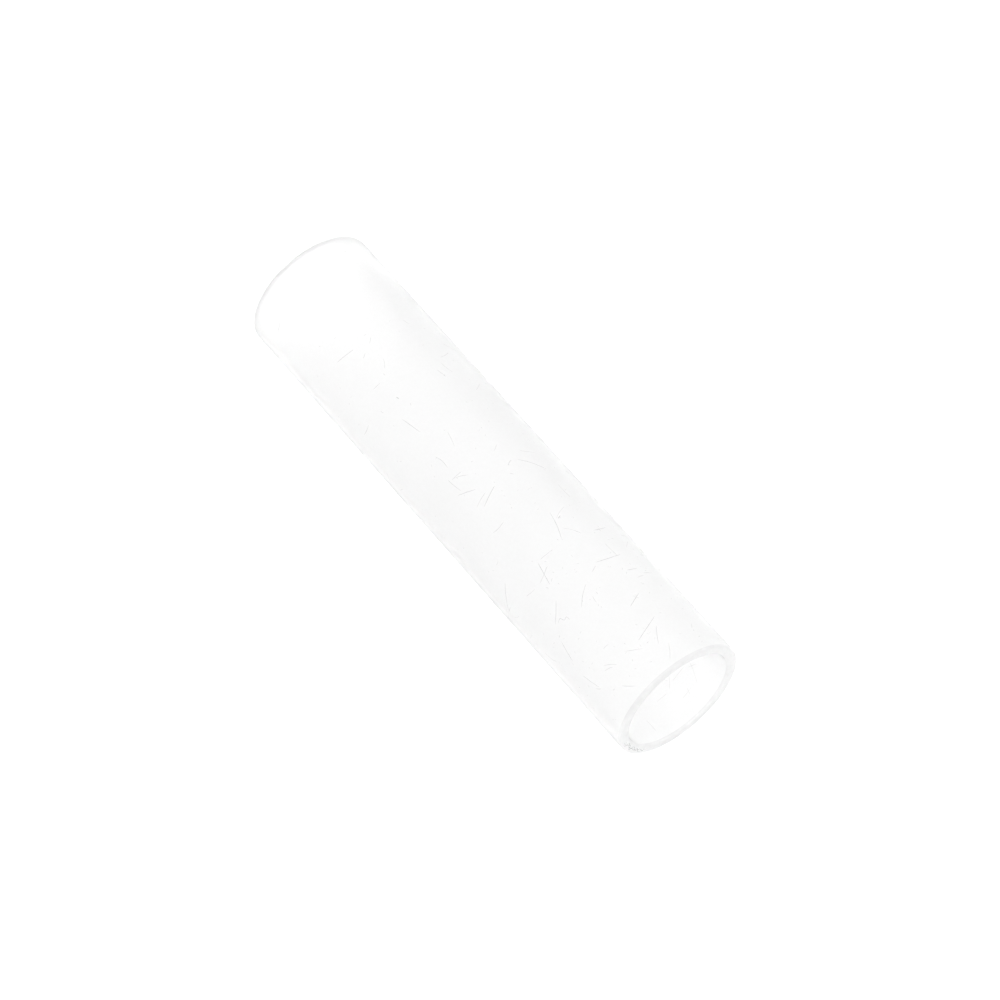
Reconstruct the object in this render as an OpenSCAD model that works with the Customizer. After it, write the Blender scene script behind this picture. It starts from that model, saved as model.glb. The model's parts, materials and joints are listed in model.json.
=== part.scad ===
// Guitar slide: one straight open tube, worn on a finger and slid along the strings.
// It lies on its side on Z = 0, with its axis along X and the middle of its length at X = 0.

/* [Tube] */
// Length from end face to end face
slide_len = 94; // [50:1:110]
// Outer diameter of the barrel, which touches the strings
outer_d = 22; // [20:0.5:30]
// Wall thickness, which leaves the bore that the finger goes into
wall = 1.8; // [1.5:0.1:4]

/* [Rims] */
// Radius of the softened edges, inside and outside, at both end faces
edge_r = 0.4; // [0.1:0.05:0.7]

/* [Hidden] */

outer_r = outer_d / 2;
bore_r = outer_r - wall;

// The wall cut lengthwise: radius runs along X and length along Y, from one end face to the other.
// Two crossed rectangles leave the corners open, and a circle in each corner makes its edge a true arc.
module wall_section() {
    translate([bore_r, edge_r])
        square([wall, slide_len - 2 * edge_r]);
    translate([bore_r + edge_r, 0])
        square([wall - 2 * edge_r, slide_len]);
    for (x = [bore_r + edge_r, outer_r - edge_r], y = [edge_r, slide_len - edge_r])
        translate([x, y])
            circle(r = edge_r, $fn = 48);
}

// The whole slide: straight outside and inside, open at both ends, both ends cut square.
module slide_tube() {
    color("whitesmoke", 0.6)
        translate([-slide_len / 2, 0, outer_r])
            rotate([0, 90, 0])
                rotate_extrude($fn = 128)
                    wall_section();
}

slide_tube();
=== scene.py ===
import json
import math
import random

import bpy
from mathutils import Matrix, Vector


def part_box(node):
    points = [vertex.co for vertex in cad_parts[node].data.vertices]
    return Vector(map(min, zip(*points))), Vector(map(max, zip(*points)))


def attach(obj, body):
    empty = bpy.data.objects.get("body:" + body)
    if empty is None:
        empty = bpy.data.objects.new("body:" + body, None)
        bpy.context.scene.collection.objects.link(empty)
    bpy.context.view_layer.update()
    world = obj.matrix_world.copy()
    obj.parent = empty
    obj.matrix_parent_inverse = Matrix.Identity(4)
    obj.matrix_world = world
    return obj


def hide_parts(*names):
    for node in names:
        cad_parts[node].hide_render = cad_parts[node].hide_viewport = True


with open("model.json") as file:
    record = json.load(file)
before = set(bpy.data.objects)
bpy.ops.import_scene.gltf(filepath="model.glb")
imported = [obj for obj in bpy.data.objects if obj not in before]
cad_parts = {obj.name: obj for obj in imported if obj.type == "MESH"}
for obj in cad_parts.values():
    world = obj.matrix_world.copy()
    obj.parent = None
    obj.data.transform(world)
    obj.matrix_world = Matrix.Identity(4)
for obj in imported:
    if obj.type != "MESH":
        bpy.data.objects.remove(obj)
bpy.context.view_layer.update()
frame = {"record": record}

MM = 0.001

# The tube's own measures, all worked out from the frame: it lies along X and rests on Z = 0.
LOW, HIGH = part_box("slide_tube")
HALF_LEN = (HIGH.x - LOW.x) / 2
MOUNTS = {m["name"]: m for m in frame["record"]["mounts"]}
OUTER_R = MOUNTS["barrel"]["dims"]["r_mm"] * MM
BORE_R = MOUNTS["finger_bore"]["dims"]["r_mm"] * MM
EDGE_R = HALF_LEN - MOUNTS["finger_bore"]["dims"]["length_mm"] * MM / 2
AXIS_Z = OUTER_R

# Fineness of the tube's mesh.
ROUNDS = 256
STEPS_ALONG = 60
STEPS_ROUND_EDGE = 6

# The tube's materials, in the order of its slots.
WALL, EASED_EDGE, END_FACE = range(3)

# The materials of the marks, in the order of their slots.
SCRATCH, FLECK, LINT = range(3)

# Camera: where it stands as seen from the middle of the tube, and how far the tube sits off the
# middle of the picture.
CAMERA_AZIMUTH = math.radians(53.3)
CAMERA_ELEVATION = math.radians(56.3)
CAMERA_DISTANCE = 0.6905
CAMERA_LENS = 163.1
SENSOR = 36.0
TUBE_LEFT_OF_MIDDLE = 1.65 * MM
TUBE_ABOVE_MIDDLE = 1.71 * MM

# Frosted glass of the barrel and the bore.
GLASS_IOR = 1.47
CLEARNESS = 0.7
FROST_PALE = (0.996, 0.996, 0.996, 1)
FROST_DEEP = (0.965, 0.965, 0.965, 1)
FROST_ROUGHNESS = (0.46, 0.58)
FROST_CLOUD_SCALE = 2200
FROST_PATCH_SCALE = 600

# The etched skin: long shallow draw lines under a fine grain.
DRAW_SCALE = 900
DRAW_STRETCH = (0.04, 1, 1)
DRAW_DEPTH = 0.004 * MM
GRAIN_SCALE = 4200
GRAIN_DEPTH = 0.010 * MM

# Glass of the two rims, where the ends were ground flat and their edges eased.
# Painted shade: the end faces and eased edges are coloured a darker grey than the barrel's glass,
# standing in for the shade that falls on them.
RIM_FACE_PAINTED_SHADE = (0.865, 0.865, 0.865, 1)
RIM_EDGE_PAINTED_SHADE = (0.865, 0.865, 0.865, 1)
RIM_ROUGHNESS = (0.28, 0.455)
RIM_CLEARNESS = 0.5
RIM_SHADE = 0.94
RIM_CLOUD_SCALE = 1100
RIM_STREAK_SCALE = 1500
RIM_GRAIN_SCALE = 3000
RIM_GRAIN_DEPTH = 0.004 * MM

# Light: a soft white room, a little dimmer towards its horizon, over a glowing pale table.
HORIZON_LIGHT = (0.72, 0.72, 0.72, 1)
MIDDLE_LIGHT = (0.93, 0.93, 0.93, 1)
OVERHEAD_LIGHT = (1.0, 1.0, 1.0, 1)
MIDDLE_HEIGHT = 0.25
OVERHEAD_HEIGHT = 0.8
TABLE_COLOR = (0.23, 0.23, 0.23, 1)
TABLE_ROUGHNESS = 0.8
TABLE_GLOW = 0.79
TABLE_REACH = 3
EXPOSURE = 0.32

# How often light may cross the milky walls, so that the bore doesn't darken.
MOST_BOUNCES = 32
DIFFUSE_BOUNCES = 24
CLEAR_BOUNCES = 24
GLOSSY_BOUNCES = 16

# Wear, drawn from a fixed seed and scattered all round the tube. Each kind has how many there are,
# the range of their length and width in mm, and the most that one bows, as a share of its length.
WEAR_SEED = 11
SCRATCHES = {"count": 150, "length": (0.5, 3.2), "width": (0.06, 0.10), "bow": 0.08}
LONG_SCRATCHES = {"count": 36, "length": (2.5, 5.6), "width": (0.06, 0.09), "bow": 0.05}
MOUTH_SCRATCHES = {"count": 110, "length": (1.0, 4.5), "width": (0.04, 0.07), "bow": 0.04}
FLECKS = {"count": 480, "length": (0.25, 0.45), "width": (0.04, 0.08), "bow": 0}
SPECKS = {"count": 6, "length": (0.5, 0.8), "width": (0.10, 0.15), "bow": 0.1}
CURL_COUNT = 6
CURL_WIDTH = 0.07
CURL_CLEAR_OF_END = 3
MOUTH_DEPTH = 14

# The S of one curl, as (ahead, across) in mm.
CURL_BENDS = ((-1.1, -0.2), (-0.6, 0.4), (0.1, 0.0), (0.6, 0.4), (1.1, -0.2))

# A tangle of lint low on the near rim: where it is and how far it spreads, in degrees round the tube
# from the top towards +Y, its strands, and how far they sway across the rim's face, in mm.
LINT_AROUND = -120
LINT_SPREAD = 44
LINT_STRANDS = 2
LINT_TURNS = 9
LINT_WIDTH = 0.05
LINT_SWAY = 0.5
LINT_START_SHIFT = 3
LINT_STEP_SHIFT = 2

# How a mark's bead is made: how far it stands proud, its sides, the points between two stops of its
# line, and how blunt its ends are, from 0, square, to 1, long and slim.
MARK_RISE = 0.012 * MM
MARK_SIDES = 6
STEPS_PER_STOP = 4
MARK_TAPER = 0.4

# Bruised glass and lint: the light and dark greys that each kind varies between.
SCRATCH_GREYS = ((0.74, 0.74, 0.74, 1), (0.58, 0.58, 0.58, 1))
FLECK_GREYS = ((0.84, 0.84, 0.84, 1), (0.70, 0.70, 0.70, 1))
LINT_GREYS = ((0.30, 0.30, 0.30, 1), (0.16, 0.16, 0.16, 1))
MARK_ROUGHNESS = 0.7
MARK_CLOUD_SCALE = 700


# ---------------------------------------------------------------- small helpers

class Nodes:
    """Builds one material's node tree with short calls."""

    def __init__(self, name):
        self.material = bpy.data.materials.new(name)
        self.material.use_nodes = True
        self.tree = self.material.node_tree
        self.tree.nodes.clear()
        self.output = self.add("ShaderNodeOutputMaterial")
        self.place = self.add("ShaderNodeTexCoord").outputs["Object"]

    def add(self, kind, values=None, **settings):
        node = self.tree.nodes.new(kind)
        for key, value in settings.items():
            setattr(node, key, value)
        for key, value in (values or {}).items():
            node.inputs[key].default_value = value
        return node

    def link(self, source, target):
        self.tree.links.new(source, target)

    def noise(self, scale, detail=2.0, stretch=(1, 1, 1)):
        """Noise whose features are about 1 / scale metres across, drawn out by stretch."""
        spread = self.add("ShaderNodeMapping", {"Scale": stretch})
        self.link(self.place, spread.inputs["Vector"])
        made = self.add("ShaderNodeTexNoise", {"Scale": scale, "Detail": detail})
        self.link(spread.outputs["Vector"], made.inputs["Vector"])
        return made.outputs["Fac"]

    def spread(self, source, low, high, start=0.3, end=0.7):
        made = self.add("ShaderNodeMapRange", {"From Min": start, "From Max": end,
                                               "To Min": low, "To Max": high})
        self.link(source, made.inputs["Value"])
        return made.outputs["Result"]

    def blend(self, source, first, second, start=0.3, end=0.7):
        made = self.add("ShaderNodeValToRGB")
        made.color_ramp.elements[0].position = start
        made.color_ramp.elements[1].position = end
        made.color_ramp.elements[0].color = first
        made.color_ramp.elements[1].color = second
        self.link(source, made.inputs["Fac"])
        return made.outputs["Color"]

    def bump(self, source, height, below=None):
        made = self.add("ShaderNodeBump", {"Strength": 1.0, "Distance": height})
        self.link(source, made.inputs["Height"])
        if below is not None:
            self.link(below, made.inputs["Normal"])
        return made.outputs["Normal"]


def mesh_object(name, vertices, faces, materials):
    mesh = bpy.data.meshes.new(name)
    mesh.from_pydata(vertices, [], faces)
    for material in materials:
        mesh.materials.append(material)
    mesh.validate()
    mesh.update()
    made = bpy.data.objects.new(name, mesh)
    bpy.context.scene.collection.objects.link(made)
    return made


# ---------------------------------------------------------------- materials

def frosted_glass():
    """Milky glass with an etched, finely grained skin."""
    n = Nodes("frosted_glass")
    shader = n.add("ShaderNodeBsdfPrincipled", {
        "IOR": GLASS_IOR,
        "Transmission Weight": CLEARNESS,
    })
    clouds = n.noise(FROST_CLOUD_SCALE, 5.0)
    n.link(n.blend(clouds, FROST_DEEP, FROST_PALE), shader.inputs["Base Color"])
    patches = n.noise(FROST_PATCH_SCALE, 4.0)
    n.link(n.spread(patches, *FROST_ROUGHNESS), shader.inputs["Roughness"])
    drawn = n.bump(n.noise(DRAW_SCALE, 2.0, DRAW_STRETCH), DRAW_DEPTH)
    grain = n.bump(n.noise(GRAIN_SCALE, 2.0), GRAIN_DEPTH, drawn)
    n.link(grain, shader.inputs["Normal"])
    n.link(shader.outputs["BSDF"], n.output.inputs["Surface"])
    return n.material


def ground_rim(name, color):
    """Glass of the ends: the faces were ground flat and their edges eased. Their darker grey colour
    is painted shade.
    """
    n = Nodes(name)
    shader = n.add("ShaderNodeBsdfPrincipled", {
        "IOR": GLASS_IOR,
        "Transmission Weight": RIM_CLEARNESS,
    })
    darker = tuple(RIM_SHADE * channel for channel in color[:3]) + (1,)
    n.link(n.blend(n.noise(RIM_CLOUD_SCALE, 3.0), darker, color), shader.inputs["Base Color"])
    streaks = n.noise(RIM_STREAK_SCALE, 3.0)
    n.link(n.spread(streaks, *RIM_ROUGHNESS), shader.inputs["Roughness"])
    n.link(n.bump(n.noise(RIM_GRAIN_SCALE, 3.0), RIM_GRAIN_DEPTH), shader.inputs["Normal"])
    n.link(shader.outputs["BSDF"], n.output.inputs["Surface"])
    return n.material


def worn_line(name, light, dark):
    """Bruised glass and lint: a dull grey that varies along each mark."""
    n = Nodes(name)
    shader = n.add("ShaderNodeBsdfPrincipled", {"Roughness": MARK_ROUGHNESS, "IOR": GLASS_IOR})
    n.link(n.blend(n.noise(MARK_CLOUD_SCALE, 2.0), light, dark), shader.inputs["Base Color"])
    n.link(shader.outputs["BSDF"], n.output.inputs["Surface"])
    return n.material


def pale_table():
    n = Nodes("pale_table")
    shader = n.add("ShaderNodeBsdfPrincipled", {
        "Base Color": TABLE_COLOR,
        "Roughness": TABLE_ROUGHNESS,
        "Emission Color": (1, 1, 1, 1),
        "Emission Strength": TABLE_GLOW,
    })
    n.link(shader.outputs["BSDF"], n.output.inputs["Surface"])
    return n.material


# ---------------------------------------------------------------- the slide

def eased_corner(centre_x, centre_r, start):
    """A quarter turn of the edge's rounding, as (along, radius) pairs."""
    pairs = []
    for i in range(STEPS_ROUND_EDGE + 1):
        angle = start - math.pi / 2 * i / STEPS_ROUND_EDGE
        pairs.append((centre_x + EDGE_R * math.cos(angle), centre_r + EDGE_R * math.sin(angle)))
    return pairs


def straight_run(start, end, radius):
    pairs = []
    for i in range(1, STEPS_ALONG):
        pairs.append((start + (end - start) * i / STEPS_ALONG, radius))
    return pairs


def wall_outline():
    """The wall cut lengthwise, once round, and which material each of its stretches has."""
    straight = HALF_LEN - EDGE_R
    runs = [
        straight_run(-straight, straight, OUTER_R),
        eased_corner(straight, OUTER_R - EDGE_R, math.pi / 2),
        eased_corner(straight, BORE_R + EDGE_R, 0),
        straight_run(straight, -straight, BORE_R),
        eased_corner(-straight, BORE_R + EDGE_R, -math.pi / 2),
        eased_corner(-straight, OUTER_R - EDGE_R, math.pi),
    ]
    points = []
    surfaces = []
    for run in runs:
        eased = len(run) == STEPS_ROUND_EDGE + 1
        points += run
        surfaces += [EASED_EDGE if eased else WALL] * (len(run) - 1)
        surfaces.append(WALL)
    flat_starts = len(runs[0]) + len(runs[1]) - 1, len(points) - len(runs[5]) - 1
    for start in flat_starts:
        surfaces[start] = END_FACE
    return points, surfaces


def tube():
    outline, surfaces = wall_outline()
    vertices = []
    for i in range(ROUNDS):
        turn = 2 * math.pi * i / ROUNDS
        for along, radius in outline:
            vertices.append((along, radius * math.sin(turn), AXIS_Z + radius * math.cos(turn)))
    count = len(outline)
    faces = []
    for i in range(ROUNDS):
        here, there = i * count, (i + 1) % ROUNDS * count
        for j in range(count):
            k = (j + 1) % count
            faces.append((here + j, here + k, there + k, there + j))
    materials = [
        frosted_glass(),
        # The two rim materials carry painted shade, a darker grey than the barrel's glass.
        ground_rim("eased_edge_painted_shade", RIM_EDGE_PAINTED_SHADE),
        ground_rim("end_face_painted_shade", RIM_FACE_PAINTED_SHADE),
    ]
    made = mesh_object("slide_barrel", vertices, faces, materials)
    made.data.polygons.foreach_set("use_smooth", [True] * len(faces))
    made.data.polygons.foreach_set("material_index", surfaces * ROUNDS)
    made.data.update()
    return made


# ---------------------------------------------------------------- marks of use

def on_wall(radius, facing):
    """Turns a stop into a point on the wall and the direction that faces away from the glass."""
    def spot(stop):
        turn = math.radians(stop[1])
        out = Vector((0, math.sin(turn), math.cos(turn)))
        return Vector((stop[0] * MM, 0, AXIS_Z)) + out * radius, out * facing
    return spot


def on_near_rim(stop):
    turn = math.radians(stop[1])
    out = Vector((0, math.sin(turn), math.cos(turn)))
    return Vector((HALF_LEN, 0, AXIS_Z)) + out * stop[0] * MM, Vector((1, 0, 0))


def between(a, b, c, d, t):
    """One coordinate at share t of the way from b to c, with a before them and d after."""
    square = 2 * a - 5 * b + 4 * c - d
    cube = 3 * b - a - 3 * c + d
    return 0.5 * (2 * b + (c - a) * t + square * t ** 2 + cube * t ** 3)


def smooth_line(stops):
    """Stops joined by one smooth curve (Catmull-Rom) that passes through them all."""
    ends = [stops[0]] + list(stops) + [stops[-1]]
    line = []
    for i in range(len(stops) - 1):
        for k in range(STEPS_PER_STOP):
            t = k / STEPS_PER_STOP
            line.append(tuple(between(*values, t) for values in zip(*ends[i:i + 4])))
    line.append(tuple(stops[-1]))
    return line


class MarkMesh:
    """Collects marks as slim closed beads, half sunk in the surface they lie on."""

    def __init__(self):
        self.vertices = []
        self.faces = []
        self.tones = []

    def bead(self, width, stops, spot, tone=SCRATCH):
        spots = [spot(stop) for stop in smooth_line(stops)]
        last = len(spots) - 1
        first_vertex = len(self.vertices)
        self.vertices.append(spots[0][0])
        for i in range(1, last):
            here, away = spots[i]
            ahead = (spots[i + 1][0] - spots[i - 1][0]).normalized()
            side = away.cross(ahead).normalized()
            taper = math.sin(math.pi * i / last) ** MARK_TAPER
            for k in range(MARK_SIDES):
                turn = 2 * math.pi * k / MARK_SIDES
                across = side * math.cos(turn) * width * MM / 2 * taper
                self.vertices.append(here + across + away * math.sin(turn) * MARK_RISE)
        self.vertices.append(spots[last][0])
        self.skin(first_vertex, last - 1, tone)

    def skin(self, first_vertex, rings, tone):
        start = first_vertex + 1
        end = start + rings * MARK_SIDES
        made = []
        for k in range(MARK_SIDES):
            n = (k + 1) % MARK_SIDES
            made.append((first_vertex, start + n, start + k))
            for i in range(rings - 1):
                low, high = start + i * MARK_SIDES, start + (i + 1) * MARK_SIDES
                made.append((low + k, low + n, high + n, high + k))
            made.append((end, end - MARK_SIDES + k, end - MARK_SIDES + n))
        self.faces += made
        self.tones += [tone] * len(made)


def placed(centre, offsets, heading, radius):
    """Stops on a wall from a mark's own (ahead, across) offsets in mm, turned to its heading."""
    slope = math.radians(heading)
    stops = []
    for ahead, across in offsets:
        along = ahead * math.cos(slope) - across * math.sin(slope)
        around = ahead * math.sin(slope) + across * math.cos(slope)
        stops.append((centre[0] + along, centre[1] + math.degrees(around * MM / radius)))
    return stops


def scratches(marks, rng, kind, radius, spot, tone, depth=None):
    """Scatters one kind of mark all round a wall: more of them towards the near end, or, where a
    depth is given, only that far in from it."""
    reach = HALF_LEN / MM - kind["length"][1] / 2 - 2 * EDGE_R / MM
    for _ in range(kind["count"]):
        if depth is None:
            along = rng.triangular(-reach, reach, reach)
        else:
            along = reach - rng.uniform(0, depth)
        centre = (along, rng.uniform(0, 360))
        length = rng.uniform(*kind["length"])
        bow = length * kind["bow"] * rng.uniform(-1, 1)
        offsets = ((-length / 2, 0), (0, bow), (length / 2, 0))
        stops = placed(centre, offsets, rng.uniform(-90, 90), radius)
        marks.bead(rng.uniform(*kind["width"]), stops, spot, tone)


def curls(marks, rng, spot):
    """Ends of hair and fluff that cling to the outside."""
    reach = HALF_LEN / MM - CURL_CLEAR_OF_END
    for _ in range(CURL_COUNT):
        centre = (rng.triangular(-reach, reach, reach), rng.uniform(0, 360))
        stops = placed(centre, CURL_BENDS, rng.uniform(-90, 90), OUTER_R)
        marks.bead(CURL_WIDTH, stops, spot)


def rim_lint(marks, rng):
    """A loose tangle of lint across the face of the near rim."""
    middle = (OUTER_R + BORE_R) / 2 / MM
    for _ in range(LINT_STRANDS):
        start = LINT_AROUND + rng.uniform(-LINT_START_SHIFT, LINT_START_SHIFT)
        stops = []
        for i in range(LINT_TURNS):
            side = 1 if i % 2 else -1
            shift = rng.uniform(-LINT_STEP_SHIFT, LINT_STEP_SHIFT)
            around = start + LINT_SPREAD * (i / LINT_TURNS - 0.5) + shift
            stops.append((middle + side * rng.uniform(0, LINT_SWAY), around))
        marks.bead(LINT_WIDTH, stops, on_near_rim, LINT)


def surface_marks():
    marks = MarkMesh()
    rng = random.Random(WEAR_SEED)
    outside = on_wall(OUTER_R, 1)
    inside = on_wall(BORE_R, -1)
    scratches(marks, rng, SCRATCHES, OUTER_R, outside, FLECK)
    scratches(marks, rng, LONG_SCRATCHES, OUTER_R, outside, SCRATCH)
    scratches(marks, rng, MOUTH_SCRATCHES, BORE_R, inside, FLECK, MOUTH_DEPTH)
    scratches(marks, rng, FLECKS, OUTER_R, outside, FLECK)
    scratches(marks, rng, SPECKS, OUTER_R, outside, SCRATCH)
    curls(marks, rng, outside)
    rim_lint(marks, rng)
    tones = [
        worn_line("worn_line", *SCRATCH_GREYS),
        worn_line("worn_fleck", *FLECK_GREYS),
        worn_line("lint", *LINT_GREYS),
    ]
    made = mesh_object("surface_marks", marks.vertices, marks.faces, tones)
    made.data.polygons.foreach_set("material_index", marks.tones)
    made.data.polygons.foreach_set("use_smooth", [True] * len(marks.faces))
    made.data.update()
    return made


# ---------------------------------------------------------------- table, light and camera

def table():
    r = TABLE_REACH
    corners = [(-r, -r, 0), (r, -r, 0), (r, r, 0), (-r, r, 0)]
    return mesh_object("table", corners, [(0, 1, 2, 3)], [pale_table()])


def room():
    world = bpy.data.worlds.new("room")
    world.use_nodes = True
    tree = world.node_tree
    direction = tree.nodes.new("ShaderNodeTexCoord")
    parts = tree.nodes.new("ShaderNodeSeparateXYZ")
    grade = tree.nodes.new("ShaderNodeValToRGB")
    stops = grade.color_ramp.elements
    stops[0].position = 0
    stops[0].color = HORIZON_LIGHT
    stops[1].position = OVERHEAD_HEIGHT
    stops[1].color = OVERHEAD_LIGHT
    stops.new(MIDDLE_HEIGHT).color = MIDDLE_LIGHT
    tree.links.new(direction.outputs["Generated"], parts.inputs["Vector"])
    tree.links.new(parts.outputs["Z"], grade.inputs["Fac"])
    tree.links.new(grade.outputs["Color"], tree.nodes["Background"].inputs["Color"])
    bpy.context.scene.world = world


def light_paths():
    cycles = bpy.context.scene.cycles
    cycles.max_bounces = MOST_BOUNCES
    cycles.diffuse_bounces = DIFFUSE_BOUNCES
    cycles.transmission_bounces = CLEAR_BOUNCES
    cycles.glossy_bounces = GLOSSY_BOUNCES


def camera():
    data = bpy.data.cameras.new("camera")
    data.sensor_width = SENSOR
    data.lens = CAMERA_LENS
    data.clip_start = 0.01
    data.clip_end = 20
    made = bpy.data.objects.new("camera", data)
    bpy.context.scene.collection.objects.link(made)
    a, e = CAMERA_AZIMUTH, CAMERA_ELEVATION
    back = Vector((math.sin(a) * math.cos(e), -math.cos(a) * math.cos(e), math.sin(e)))
    right = Vector((math.cos(a), math.sin(a), 0))
    up = back.cross(right)
    middle = Vector((0, 0, AXIS_Z))
    aim = middle + right * TUBE_LEFT_OF_MIDDLE - up * TUBE_ABOVE_MIDDLE
    turn = Matrix((right, up, back)).transposed()
    made.matrix_world = Matrix.Translation(aim + back * CAMERA_DISTANCE) @ turn.to_4x4()
    bpy.context.scene.camera = made


# ---------------------------------------------------------------- the scene

barrel = tube()
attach(barrel, "root")
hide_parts("slide_tube")

wear = surface_marks()
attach(wear, "root")

table()
room()
camera()
light_paths()
bpy.context.scene.view_settings.view_transform = "Standard"
bpy.context.scene.view_settings.exposure = EXPOSURE
